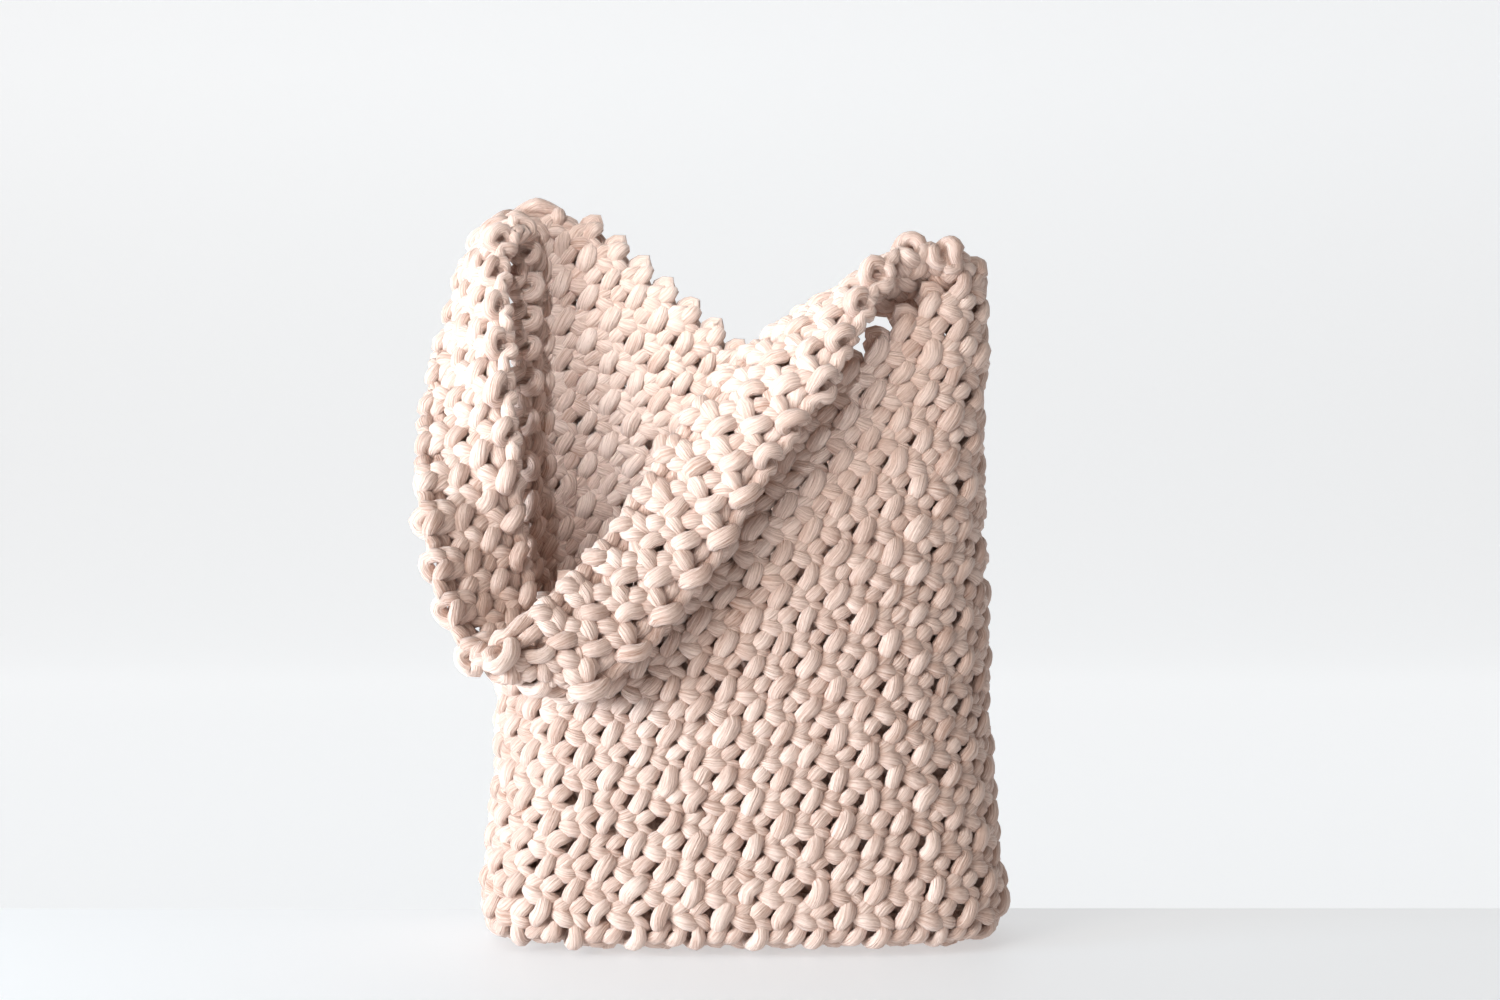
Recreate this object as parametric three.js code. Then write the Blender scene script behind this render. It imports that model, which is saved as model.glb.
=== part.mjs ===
// Knotted cotton shoulder bag, standing by itself with its strap slung down across the front.
// Millimetres, +Z up. The origin is the middle of the underside. -Y is the front, +X is the
// right-hand side seen from the front.
//
// The bag is one net of square knots. Two panels, front and back, are joined round the lower
// half and rise apart above it: the front panel runs up to a peak at the right, the back panel
// to a peak at the left. A strap two knots wide goes on from one peak to the other, in two
// stretches that meet where it lies straight across the front.
import * as THREE from 'three';

// Body sizes
const bodyWidth = 276;
const bodyDepth = 141;
const baseThickness = 14;
const wallThickness = 14;
const seamGap = 0.3;
const jointGap = 0.6;

// The net: rows lie one above the other, columns side by side, and each row is set half a
// column to the side of the last one.
const rowPitch = 12.2;
const columnsAcross = 11;
const reliefHeight = 2.6;

// Mouth and peaks
const mouthWidth = 268;
const mouthDepth = 104;
const shoulderRadius = 14;
const frontPeakRow = 30;
const backPeakRow = 34;
const frontSideLength = 34;
const backSideLength = 20;
const backPeakDroop = 24;
const droopRows = 9;

// Strap
const strapColumns = 2;
const strapWidth = 57;
const strapThickness = 13;
const strapPeriods = 28;
const strapSeamPeriod = 12;
const edgeLoopWidth = 6.6;
const edgeSlotWidth = 4.6;
const frontRise = 7;
const strapJoint = 0.05;

// Outside of the body from the floor to the peaks. height is a share of the back peak's
// height, width of bodyWidth, depth of bodyDepth. squareness is 2 for an ellipse and more
// for a section with flatter sides.
const bodySections = [
  { height: 0.00, width: 1.015, depth: 0.960, squareness: 4.0 },
  { height: 0.02, width: 1.050, depth: 1.020, squareness: 4.0 },
  { height: 0.05, width: 1.060, depth: 1.035, squareness: 3.8 },
  { height: 0.14, width: 1.030, depth: 1.035, squareness: 3.2 },
  { height: 0.27, width: 1.000, depth: 1.010, squareness: 2.8 },
  { height: 0.42, width: 0.992, depth: 1.000, squareness: 2.6 },
  { height: 0.60, width: 0.988, depth: 0.970, squareness: 2.6 },
  { height: 1.00, width: 0.970, depth: 0.860, squareness: 2.6 },
];

// Way of the strap's middle line from above the front peak to above the back peak. across is a
// share of half the body width, depth of half the body depth, height of the back peak's
// height. turnX, turnY and turnZ point from the strap's lower edge to its upper edge on the
// front stretch. curl is how far both edges stand out from the middle, as a share of the
// strap's width; where it is below 0 they bend inwards.
const strapStations = [
  { across: 0.865, depth: -0.450, height: 0.898, turnX: 0.03, turnY: 0.90, turnZ: -0.40, curl: 0.00 },
  { across: 0.735, depth: -0.470, height: 0.894, turnX: 0.00, turnY: 0.76, turnZ: -0.64, curl: -0.01 },
  { across: 0.600, depth: -0.520, height: 0.890, turnX: -0.08, turnY: 0.78, turnZ: -0.58, curl: -0.03 },
  { across: 0.420, depth: -0.650, height: 0.866, turnX: -0.32, turnY: 0.90, turnZ: -0.04, curl: -0.05 },
  { across: 0.290, depth: -0.860, height: 0.820, turnX: -0.58, turnY: 0.76, turnZ: 0.20, curl: -0.05 },
  { across: 0.160, depth: -1.070, height: 0.760, turnX: -0.76, turnY: 0.50, turnZ: 0.34, curl: -0.04 },
  { across: -0.035, depth: -1.215, height: 0.680, turnX: -0.85, turnY: 0.30, turnZ: 0.42, curl: -0.03 },
  { across: -0.240, depth: -1.270, height: 0.570, turnX: -0.86, turnY: 0.10, turnZ: 0.51, curl: -0.02 },
  { across: -0.440, depth: -1.320, height: 0.482, turnX: -0.80, turnY: -0.02, turnZ: 0.60, curl: 0.00 },
  { across: -0.610, depth: -1.385, height: 0.424, turnX: -0.74, turnY: -0.10, turnZ: 0.66, curl: 0.00 },
  { across: -0.745, depth: -1.410, height: 0.394, turnX: -0.78, turnY: -0.25, turnZ: 0.57, curl: -0.03 },
  { across: -0.830, depth: -1.300, height: 0.382, turnX: -0.85, turnY: -0.42, turnZ: 0.30, curl: -0.07 },
  { across: -0.895, depth: -1.170, height: 0.403, turnX: -0.88, turnY: -0.46, turnZ: 0.05, curl: -0.10 },
  { across: -0.990, depth: -1.060, height: 0.455, turnX: -0.84, turnY: -0.54, turnZ: 0.00, curl: -0.11 },
  { across: -1.065, depth: -0.900, height: 0.557, turnX: -0.92, turnY: -0.39, turnZ: 0.00, curl: -0.11 },
  { across: -1.092, depth: -0.690, height: 0.664, turnX: -0.95, turnY: 0.26, turnZ: 0.00, curl: -0.09 },
  { across: -1.100, depth: -0.450, height: 0.772, turnX: -0.80, turnY: 0.60, turnZ: 0.00, curl: -0.07 },
  { across: -1.096, depth: -0.110, height: 0.862, turnX: -0.50, turnY: 0.85, turnZ: 0.10, curl: -0.04 },
  { across: -1.084, depth: 0.110, height: 0.918, turnX: -0.25, turnY: 0.90, turnZ: 0.28, curl: -0.02 },
  { across: -1.044, depth: 0.290, height: 0.958, turnX: -0.05, turnY: 0.86, turnZ: 0.44, curl: 0.00 },
  { across: -0.976, depth: 0.440, height: 0.984, turnX: 0.05, turnY: 0.82, turnZ: 0.52, curl: 0.00 },
];

// Sizes worked out from those above
const halfWall = wallThickness / 2;
const halfColumns = columnsAcross * 2;
const strapHalfColumns = strapColumns * 2;
const rowsFromMouthToPeak = halfColumns - strapHalfColumns;
const peakHeight = backPeakRow * rowPitch;
const footHeight = baseThickness + seamGap;
const mouthHalfWidth = mouthWidth / 2 - halfWall;
const mouthHalfDepth = mouthDepth / 2 - halfWall;
const up = new THREE.Vector3(0, 0, 1);

// Each panel starts at its free side edge. turn is 1 for the front and -1 for the back, which
// is the front's layout turned half way round. freeRow is where the other panel's mouth ends
// beside it and its own side edge comes free. droop is how far the peak's side corner hangs
// below its mouth corner; the front peak is held level.
const panels = {
  front: {
    turn: 1,
    peakRow: frontPeakRow,
    sideLength: frontSideLength,
    droop: 0,
    freeRow: backPeakRow - rowsFromMouthToPeak,
  },
  back: {
    turn: -1,
    peakRow: backPeakRow,
    sideLength: backSideLength,
    droop: backPeakDroop,
    freeRow: frontPeakRow - rowsFromMouthToPeak,
  },
};

// Reads one column of a table that is sorted by height, with straight steps between its rows.
function readTable(table, column, height) {
  const above = table.findIndex((row) => row.height >= height);
  if (above === 0) return table[0][column];
  if (above === -1) return table[table.length - 1][column];
  const low = table[above - 1];
  const high = table[above];
  const share = (height - low.height) / (high.height - low.height);
  return THREE.MathUtils.lerp(low[column], high[column], share);
}

// Half of a level section through the body, from the right side by way of the front to the
// left side, drawn inset millimetres inside the outer surface.
class HalfSection extends THREE.Curve {
  constructor(height, inset) {
    super();
    const share = height / peakHeight;
    this.halfWidth = (readTable(bodySections, 'width', share) * bodyWidth) / 2 - inset;
    this.halfDepth = (readTable(bodySections, 'depth', share) * bodyDepth) / 2 - inset;
    this.power = 2 / readTable(bodySections, 'squareness', share);
  }

  getPoint(t, target = new THREE.Vector3()) {
    const angle = Math.PI * t;
    const x = Math.sign(Math.cos(angle)) * Math.abs(Math.cos(angle)) ** this.power;
    const y = Math.abs(Math.sin(angle)) ** this.power;
    return target.set(this.halfWidth * x, -this.halfDepth * y, 0);
  }
}

const sectionCache = new Map();

function halfSection(height, inset) {
  const key = `${height} ${inset}`;
  if (!sectionCache.has(key)) sectionCache.set(key, new HalfSection(height, inset));
  return sectionCache.get(key);
}

// Level path of a panel at its peak: back along the side, round the shoulder, then across.
function shoulderPoint(length, sideLength) {
  const arcLength = (Math.PI / 2) * shoulderRadius;
  const arcCentreY = shoulderRadius - mouthHalfDepth;
  if (length < sideLength) {
    return new THREE.Vector3(mouthHalfWidth, arcCentreY + sideLength - length, 0);
  }
  if (length < sideLength + arcLength) {
    const angle = (length - sideLength) / shoulderRadius;
    const x = mouthHalfWidth - shoulderRadius + shoulderRadius * Math.cos(angle);
    return new THREE.Vector3(x, arcCentreY - shoulderRadius * Math.sin(angle), 0);
  }
  const beyond = length - sideLength - arcLength;
  return new THREE.Vector3(mouthHalfWidth - shoulderRadius - beyond, -mouthHalfDepth, 0);
}

// A point in the middle of a panel's wall, at a column counted from its free side edge.
function panelPoint(panel, column, height) {
  const round = halfSection(height, halfWall).getPointAt(column / columnsAcross);
  const flat = shoulderPoint((column * strapWidth) / strapColumns, panel.sideLength);
  const peak = panel.peakRow * rowPitch;
  const free = THREE.MathUtils.smoothstep(height, panel.freeRow * rowPitch, peak);
  const point = round.lerp(flat, free);
  const sag = THREE.MathUtils.smoothstep(height, peak - droopRows * rowPitch, peak) * panel.droop;
  const sideShare = Math.max(0, 1 - column / strapColumns);
  return new THREE.Vector3(point.x * panel.turn, point.y * panel.turn, height - sag * sideShare);
}

function panelOutward(panel, column, height) {
  const step = 0.05;
  const from = THREE.MathUtils.clamp(column - step, 0, columnsAcross - 2 * step);
  const across = panelPoint(panel, from + 2 * step, height).sub(panelPoint(panel, from, height));
  return up.clone().cross(across).normalize();
}

// Knots stand proud and the places between four knots lie deep, like a chequerboard.
function relief(isKnot) {
  return isKnot ? reliefHeight / 2 : -reliefHeight / 2;
}

// A closed wall built on a grid. isThere(i, j) says whether a cell holds fabric, and
// vertexAt(i, j, face) gives the corner on the outer (1) or inner (-1) face.
function gridWall(columns, rows, isThere, vertexAt) {
  const positions = [];
  const indices = [];
  const numbers = new Map();

  function vertex(i, j, face) {
    const key = `${i} ${j} ${face}`;
    if (!numbers.has(key)) {
      numbers.set(key, numbers.size);
      positions.push(...vertexAt(i, j, face).toArray());
    }
    return numbers.get(key);
  }

  function quad(a, b, c, d) {
    indices.push(a, b, c, a, c, d);
  }

  function rimWall(fromI, fromJ, toI, toJ) {
    quad(vertex(toI, toJ, 1), vertex(fromI, fromJ, 1), vertex(fromI, fromJ, -1), vertex(toI, toJ, -1));
  }

  const isFabric = (i, j) => i >= 0 && j >= 0 && i < columns && j < rows && isThere(i, j);
  for (let j = 0; j < rows; j += 1) {
    for (let i = 0; i < columns; i += 1) {
      if (!isFabric(i, j)) continue;
      quad(vertex(i, j, 1), vertex(i, j + 1, 1), vertex(i + 1, j + 1, 1), vertex(i + 1, j, 1));
      quad(vertex(i, j, -1), vertex(i + 1, j, -1), vertex(i + 1, j + 1, -1), vertex(i, j + 1, -1));
      if (!isFabric(i - 1, j)) rimWall(i, j, i, j + 1);
      if (!isFabric(i, j + 1)) rimWall(i, j + 1, i + 1, j + 1);
      if (!isFabric(i + 1, j)) rimWall(i + 1, j + 1, i + 1, j);
      if (!isFabric(i, j - 1)) rimWall(i + 1, j, i, j);
    }
  }

  const geometry = new THREE.BufferGeometry();
  geometry.setAttribute('position', new THREE.Float32BufferAttribute(positions, 3));
  geometry.setIndex(indices);
  geometry.computeVertexNormals();
  return geometry;
}

// A panel's cells are half a column wide and one row high. Above the mouth's low end each row
// stops half a column short of the one below, which gives the mouth its stepped edge.
function panelGeometry(panel) {
  const firstRow = Math.ceil(footHeight / rowPitch);
  const rows = panel.peakRow - firstRow + 1;
  const seamStep = seamGap / 2 / (strapWidth / strapColumns);
  const rimOf = (j) => Math.min(halfColumns, strapHalfColumns + rows - 1 - j);
  const stepRounding = 0.28;

  function vertexAt(i, j, face) {
    const row = j === 0 ? footHeight / rowPitch : firstRow + j - 1;
    const isStepCorner = j > 0 && j < rows && i === rimOf(j - 1) && i < halfColumns;
    const isSideEdge = i === 0 && row > panel.freeRow;
    const ease = isStepCorner ? stepRounding : 0;
    const column = THREE.MathUtils.clamp((i - ease) / 2, seamStep, columnsAcross - seamStep);
    const height = (row - ease) * rowPitch;
    const isKnot = (i + j + rows + strapHalfColumns) % 2 === 1;
    const isSeam = i === 0 || i === halfColumns;
    const bump = isSeam && !isSideEdge ? 0 : relief(isKnot);
    const offset = (j === 0 || j === rows ? 0 : bump) + halfWall;
    const outward = panelOutward(panel, column, height);
    return panelPoint(panel, column, height).addScaledVector(outward, face * offset);
  }

  return gridWall(halfColumns, rows, (i, j) => i < rimOf(j), vertexAt);
}

// The strap's middle line starts and ends on the panels' peaks.
function strapRoute() {
  const peakMiddle = (panel) => panelPoint(panel, strapColumns / 2, panel.peakRow * rowPitch);
  const start = peakMiddle(panels.front).addScaledVector(up, jointGap);
  const end = peakMiddle(panels.back).addScaledVector(up, jointGap);
  const middle = strapStations.map(
    (station) =>
      new THREE.Vector3(
        (station.across * bodyWidth) / 2,
        (station.depth * bodyDepth) / 2,
        station.height * peakHeight,
      ),
  );
  const aboveStart = start.clone().addScaledVector(up, frontRise);
  return new THREE.CatmullRomCurve3([start, aboveStart, ...middle, end], false, 'centripetal');
}

const route = strapRoute();
const sideways = new THREE.Vector3(0, 1, 0);
const crossways = [
  sideways,
  sideways,
  ...strapStations.map((station) => new THREE.Vector3(station.turnX, station.turnY, station.turnZ)),
  sideways,
];
const curls = [0, 0, ...strapStations.map((station) => station.curl), 0];

// Reads a list that has one entry for each point of the route, with smooth steps between them.
function alongRoute(list, t, mix) {
  const place = t * (list.length - 1);
  const low = Math.min(Math.floor(place), list.length - 2);
  return mix(list[low], list[low + 1], THREE.MathUtils.smoothstep(place - low, 0, 1));
}

// A point in the middle of the strap's thickness. column runs from the edge that goes on from
// the front panel's free side edge, 0, to the one that goes on from its mouth edge.
function strapPoint(column, share) {
  const t = route.getUtoTmapping(share);
  const centre = route.getPoint(t);
  const along = route.getTangent(t);
  const across = alongRoute(crossways, t, (a, b, mix) => a.clone().lerp(b, mix));
  across.addScaledVector(along, -across.dot(along)).normalize();
  const outward = across.clone().cross(along);
  const place = (column / strapColumns) * 2 - 1;
  const meanOfPlaceSquared = 1 / 3;
  const curl = alongRoute(curls, t, THREE.MathUtils.lerp) * strapWidth;
  const offset = across.multiplyScalar((-place * strapWidth) / 2);
  offset.addScaledVector(outward, curl * (place * place - meanOfPlaceSquared));

  offset.lerp(peakOffset(panels.front, column), nearFront(share));
  offset.lerp(peakOffset(panels.back, strapColumns - column), nearBack(share));
  return centre.add(offset);
}

// Close to a peak the strap takes over the panel's own curved section.
function nearFront(share) {
  return 1 - THREE.MathUtils.smoothstep(share, 0, strapJoint);
}

function nearBack(share) {
  return THREE.MathUtils.smoothstep(share, 1 - strapJoint, 1);
}

function peakOffset(panel, column) {
  const height = panel.peakRow * rowPitch;
  const middle = panelPoint(panel, strapColumns / 2, height);
  return panelPoint(panel, THREE.MathUtils.clamp(column, 0, strapColumns), height).sub(middle);
}

function strapOutward(column, share) {
  const step = 0.002;
  const sideStep = 0.05;
  const from = THREE.MathUtils.clamp(share - step, 0, 1 - 2 * step);
  const left = THREE.MathUtils.clamp(column - sideStep, 0, strapColumns - 2 * sideStep);
  const along = strapPoint(column, from + 2 * step).sub(strapPoint(column, from));
  const across = strapPoint(left + 2 * sideStep, share).sub(strapPoint(left, share));
  const outward = along.cross(across).normalize();
  const frontOutward = panelOutward(panels.front, column, frontPeakRow * rowPitch);
  const backOutward = panelOutward(panels.back, strapColumns - column, peakHeight);
  outward.lerp(frontOutward, nearFront(share)).lerp(backOutward, nearBack(share));
  return outward.normalize();
}

// Along the strap, two knots side by side alternate with one in the middle. Beside the single
// knot the edge cords run free, as a loop at each edge with a slot inside it. A stretch of the
// strap goes from one period to another, counted from the front peak.
function strapGeometry(firstPeriod, lastPeriod) {
  const pitch = strapWidth / strapColumns;
  const loop = edgeLoopWidth / pitch;
  const slot = loop + edgeSlotWidth / pitch;
  const columns = [0, loop, slot, strapColumns / 2, strapColumns - slot, strapColumns - loop, strapColumns];
  const cells = columns.length - 1;
  const bandsInPeriod = [0, 0.3, 0.7];
  const rows = (lastPeriod - firstPeriod) * bandsInPeriod.length;
  const slotBand = 1;
  const loopBulge = 0.05;
  const isSlotCell = (i) => i === 1 || i === cells - 2;
  const seamStep = route.getTangentAt(strapSeamPeriod / strapPeriods).multiplyScalar(jointGap / 2);

  function vertexAt(i, j, face) {
    const period = firstPeriod + Math.floor(j / bandsInPeriod.length);
    const band = j % bandsInPeriod.length;
    const share = (period + bandsInPeriod[band]) / strapPeriods;
    const isEnd = j === 0 || j === rows;
    const isLoop = band !== 0;
    const isEdge = i === 0 || i === cells;
    const isMiddle = i === cells / 2;
    const bulge = isLoop && isEdge ? loopBulge * Math.sign(i - 1) : 0;
    const offset = isEnd ? 0 : relief(isMiddle === isLoop && !isEdge);
    const outward = strapOutward(columns[i], share);
    const middle = strapPoint(columns[i] + bulge, share);
    if (j === 0 && firstPeriod > 0) middle.addScaledVector(seamStep, 1);
    if (j === rows && lastPeriod < strapPeriods) middle.addScaledVector(seamStep, -1);
    return middle.addScaledVector(outward, face * (strapThickness / 2 + offset));
  }

  const isThere = (i, j) => !(isSlotCell(i) && j % bandsInPeriod.length === slotBand);
  return gridWall(cells, rows, isThere, vertexAt);
}

// The base is a flat pad with a rounded lower edge. The walls stand on its rim.
function baseGeometry() {
  const levels = [0, 0.25, 0.6, 1];
  const around = halfColumns * 2;
  const positions = [];
  const indices = [];
  levels.forEach((level, ring) => {
    const height = level * baseThickness;
    const section = halfSection(height, 0);
    for (let i = 0; i < around; i += 1) {
      const turn = i < halfColumns ? 1 : -1;
      const point = section.getPointAt((i % halfColumns) / halfColumns);
      const isEnd = ring === 0 || ring === levels.length - 1;
      const dent = isEnd || (i + ring) % 2 === 0 ? 1 : 1 - reliefHeight / bodyWidth;
      positions.push(point.x * turn * dent, point.y * turn * dent, height);
    }
  });
  positions.push(0, 0, 0, 0, 0, baseThickness);
  const lowCentre = levels.length * around;
  const lastRing = (levels.length - 1) * around;
  for (let i = 0; i < around; i += 1) {
    const next = (i + 1) % around;
    for (let ring = 0; ring < lastRing; ring += around) {
      indices.push(ring + i, ring + i + around, ring + next + around);
      indices.push(ring + i, ring + next + around, ring + next);
    }
    indices.push(lowCentre, i, next);
    indices.push(lowCentre + 1, lastRing + next, lastRing + i);
  }
  const geometry = new THREE.BufferGeometry();
  geometry.setAttribute('position', new THREE.Float32BufferAttribute(positions, 3));
  geometry.setIndex(indices);
  geometry.computeVertexNormals();
  return geometry;
}

function cottonCord(color) {
  return new THREE.MeshStandardMaterial({ color, roughness: 0.92, metalness: 0 });
}

function addPiece(group, name, geometry, color) {
  const mesh = new THREE.Mesh(geometry, cottonCord(color));
  mesh.name = name;
  group.add(mesh);
}

// The same pink beige cord, as dark or pale as each stretch shows
const cordColors = { base: 0xb8907c, front: 0xd8b6a4, back: 0xcfab99, strap: 0xe3c6b6 };

const group = new THREE.Group();
addPiece(group, 'base_panel', baseGeometry(), cordColors.base);
addPiece(group, 'front_panel', panelGeometry(panels.front), cordColors.front);
addPiece(group, 'back_panel', panelGeometry(panels.back), cordColors.back);
addPiece(group, 'strap_front', strapGeometry(0, strapSeamPeriod), cordColors.strap);
addPiece(group, 'strap_back', strapGeometry(strapSeamPeriod, strapPeriods), cordColors.strap);

export default group;
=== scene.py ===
import math

import bpy
import numpy as np
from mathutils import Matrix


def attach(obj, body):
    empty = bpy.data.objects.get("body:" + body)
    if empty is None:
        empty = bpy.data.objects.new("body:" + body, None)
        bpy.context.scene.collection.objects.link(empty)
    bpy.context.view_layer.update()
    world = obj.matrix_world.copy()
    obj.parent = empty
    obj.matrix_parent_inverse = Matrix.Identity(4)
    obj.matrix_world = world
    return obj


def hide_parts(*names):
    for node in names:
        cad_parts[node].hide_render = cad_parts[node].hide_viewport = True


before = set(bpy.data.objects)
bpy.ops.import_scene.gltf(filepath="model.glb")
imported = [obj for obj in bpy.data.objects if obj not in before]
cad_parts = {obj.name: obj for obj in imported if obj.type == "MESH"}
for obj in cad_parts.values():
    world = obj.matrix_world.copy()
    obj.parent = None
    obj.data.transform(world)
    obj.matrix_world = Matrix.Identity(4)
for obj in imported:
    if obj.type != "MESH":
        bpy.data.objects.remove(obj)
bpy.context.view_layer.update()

mm = 0.001

# Camera at the photograph's angle, level with the middle of the bag
cameraLook = {"x": 0.0038, "distance": 1.27, "height": 0.248, "lens": 53.33, "sensor": 36.0}


def addCamera(look):
    data = bpy.data.cameras.new("camera")
    data.type = "PERSP"
    data.lens = look["lens"]
    data.sensor_width = look["sensor"]
    data.clip_start = 0.05
    camera = bpy.data.objects.new("camera", data)
    camera.location = (look["x"], -look["distance"], look["height"])
    camera.rotation_euler = (math.pi / 2, 0, 0)
    bpy.context.scene.collection.objects.link(camera)
    bpy.context.scene.camera = camera


addCamera(cameraLook)
print("camera is set")

# Sizes of the net, the same as the frame's
net = {
    "bodyWidth": 276 * mm, "bodyDepth": 141 * mm, "wall": 14 * mm,
    "rowPitch": 12.2 * mm, "columns": 11,
    "mouthWidth": 268 * mm, "mouthDepth": 104 * mm, "shoulderRadius": 14 * mm,
    "strapWidth": 57 * mm, "strapColumns": 2, "strapRows": 56, "strapJoint": 0.05,
    "frontRise": 7 * mm, "jointGap": 0.6 * mm, "droopRows": 9,
    "cornerRadius": 6 * mm, "underside": 13.8 * mm, "lowestRow": -1,
}

# Each panel: as it is or turned half way round, its highest row, how far its top runs along the
# side, how far its outer corner hangs, the row where its side edge comes free, and its neighbour
panels = {
    "front": {"turn": 1, "peakRow": 30, "side": 34 * mm, "droop": 0.0, "freeRow": 16,
              "other": "back"},
    "back": {"turn": -1, "peakRow": 34, "side": 20 * mm, "droop": 24 * mm, "freeRow": 12,
             "other": "front"},
}
halfColumns = net["columns"] * 2
strapCells = net["strapColumns"] * 2
peakHeight = panels["back"]["peakRow"] * net["rowPitch"]

# Level sections of the body: height as a share of the higher peak, width, depth, squareness
bodySections = np.array([
    (0.00, 1.015, 0.960, 4.0),
    (0.02, 1.050, 1.020, 4.0),
    (0.05, 1.060, 1.035, 3.8),
    (0.14, 1.030, 1.035, 3.2),
    (0.27, 1.000, 1.010, 2.8),
    (0.42, 0.992, 1.000, 2.6),
    (0.60, 0.988, 0.970, 2.6),
    (1.00, 0.970, 0.860, 2.6),
])

# Way of the strap from above the front peak to above the back peak: across, depth and height
# as shares of half the body's width, half its depth and the higher peak, then the direction
# from the strap's lower edge to its upper edge on the front stretch, then the curl
strapStations = np.array([
    (0.865, -0.450, 0.898, 0.03, 0.90, -0.40, 0.00),
    (0.735, -0.470, 0.894, 0.00, 0.76, -0.64, -0.01),
    (0.600, -0.520, 0.890, -0.08, 0.78, -0.58, -0.03),
    (0.420, -0.650, 0.866, -0.32, 0.90, -0.04, -0.05),
    (0.290, -0.860, 0.820, -0.58, 0.76, 0.20, -0.05),
    (0.160, -1.070, 0.760, -0.76, 0.50, 0.34, -0.04),
    (-0.035, -1.215, 0.680, -0.85, 0.30, 0.42, -0.03),
    (-0.240, -1.270, 0.570, -0.86, 0.10, 0.51, -0.02),
    (-0.440, -1.320, 0.482, -0.80, -0.02, 0.60, 0.00),
    (-0.610, -1.385, 0.424, -0.74, -0.10, 0.66, 0.00),
    (-0.745, -1.410, 0.394, -0.78, -0.25, 0.57, -0.03),
    (-0.830, -1.300, 0.382, -0.85, -0.42, 0.30, -0.07),
    (-0.895, -1.170, 0.403, -0.88, -0.46, 0.05, -0.10),
    (-0.990, -1.060, 0.455, -0.84, -0.54, 0.00, -0.11),
    (-1.065, -0.900, 0.557, -0.92, -0.39, 0.00, -0.11),
    (-1.092, -0.690, 0.664, -0.95, 0.26, 0.00, -0.09),
    (-1.100, -0.450, 0.772, -0.80, 0.60, 0.00, -0.07),
    (-1.096, -0.110, 0.862, -0.50, 0.85, 0.10, -0.04),
    (-1.084, 0.110, 0.918, -0.25, 0.90, 0.28, -0.02),
    (-1.044, 0.290, 0.958, -0.05, 0.86, 0.44, 0.00),
    (-0.976, 0.440, 0.984, 0.05, 0.82, 0.52, 0.00),
])


def smoothStep(value, low, high):
    share = np.clip((value - low) / (high - low), 0, 1)
    return share * share * (3 - 2 * share)


def unit(vectors):
    return vectors / np.linalg.norm(vectors, axis=-1, keepdims=True)


def lengthAlong(points):
    return np.concatenate(([0], np.cumsum(np.linalg.norm(np.diff(points, axis=0), axis=1))))


# Surfaces are kept as grids of points and outward directions, read in between. The panels'
# grids reach above the higher peak, and the strap's reaches past both its edges.
gridStep = {"column": 0.125, "height": 2 * mm, "strapColumn": 0.1, "strapShare": 1 / 560}
gridReach = {"height": 30 * mm, "strapColumn": 0.4}
gridEnd = 1.001    # keeps a reading inside the last cell
samples = {"section": 401, "route": 4001}


def halfSection(height, columns):
    share = height / peakHeight
    width, depth, squareness = (
        np.interp(share, bodySections[:, 0], bodySections[:, k]) for k in (1, 2, 3))
    halfWidth = width * net["bodyWidth"] / 2 - net["wall"] / 2
    halfDepth = depth * net["bodyDepth"] / 2 - net["wall"] / 2
    angle = np.linspace(0, math.pi, samples["section"])
    cosine, sine = np.cos(angle), np.sin(angle)
    x = halfWidth * np.sign(cosine) * np.abs(cosine) ** (2 / squareness)
    y = -halfDepth * np.abs(sine) ** (2 / squareness)
    length = np.concatenate(([0], np.cumsum(np.hypot(np.diff(x), np.diff(y)))))
    place = columns / net["columns"] * length[-1]
    return np.stack((np.interp(place, length, x), np.interp(place, length, y)), axis=1)


def shoulder(length, side):
    radius = net["shoulderRadius"]
    halfWidth = net["mouthWidth"] / 2 - net["wall"] / 2
    halfDepth = net["mouthDepth"] / 2 - net["wall"] / 2
    arc = math.pi / 2 * radius
    angle = np.clip((length - side) / radius, 0, math.pi / 2)
    beyond = np.maximum(length - side - arc, 0)
    before = np.maximum(side - length, 0)
    x = halfWidth - radius + radius * np.cos(angle) - beyond
    y = radius - halfDepth - radius * np.sin(angle) + before
    return np.stack((x, y), axis=1)


def panelSurface(panel):
    columns = np.arange(0, net["columns"] + gridStep["column"] / 2, gridStep["column"])
    heights = np.arange(0, peakHeight + gridReach["height"], gridStep["height"])
    peak = panel["peakRow"] * net["rowPitch"]
    flat = shoulder(columns * net["strapWidth"] / net["strapColumns"], panel["side"])
    sideShare = np.maximum(0, 1 - columns / net["strapColumns"])
    rows = []
    for height in heights:
        free = smoothStep(height, panel["freeRow"] * net["rowPitch"], peak)
        level = (1 - free) * halfSection(height, columns) + free * flat
        sag = smoothStep(height, peak - net["droopRows"] * net["rowPitch"], peak) * panel["droop"]
        rows.append(np.column_stack((level * panel["turn"], height - sag * sideShare)))
    points = np.array(rows)
    across = np.gradient(points, axis=1)
    outward = unit(np.stack((-across[..., 1], across[..., 0], 0 * across[..., 0]), axis=-1))
    return np.concatenate((points, outward), axis=2)


def readGrid(grid, u, v):
    u = np.clip(u, 0, grid.shape[0] - gridEnd)
    v = np.clip(v, 0, grid.shape[1] - gridEnd)
    a, b = u.astype(int), v.astype(int)
    s, t = (u - a)[:, None], (v - b)[:, None]
    low = grid[a, b] * (1 - t) + grid[a, b + 1] * t
    high = grid[a + 1, b] * (1 - t) + grid[a + 1, b + 1] * t
    return low * (1 - s) + high * s


surfaces = {name: panelSurface(panel) for name, panel in panels.items()}


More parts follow.
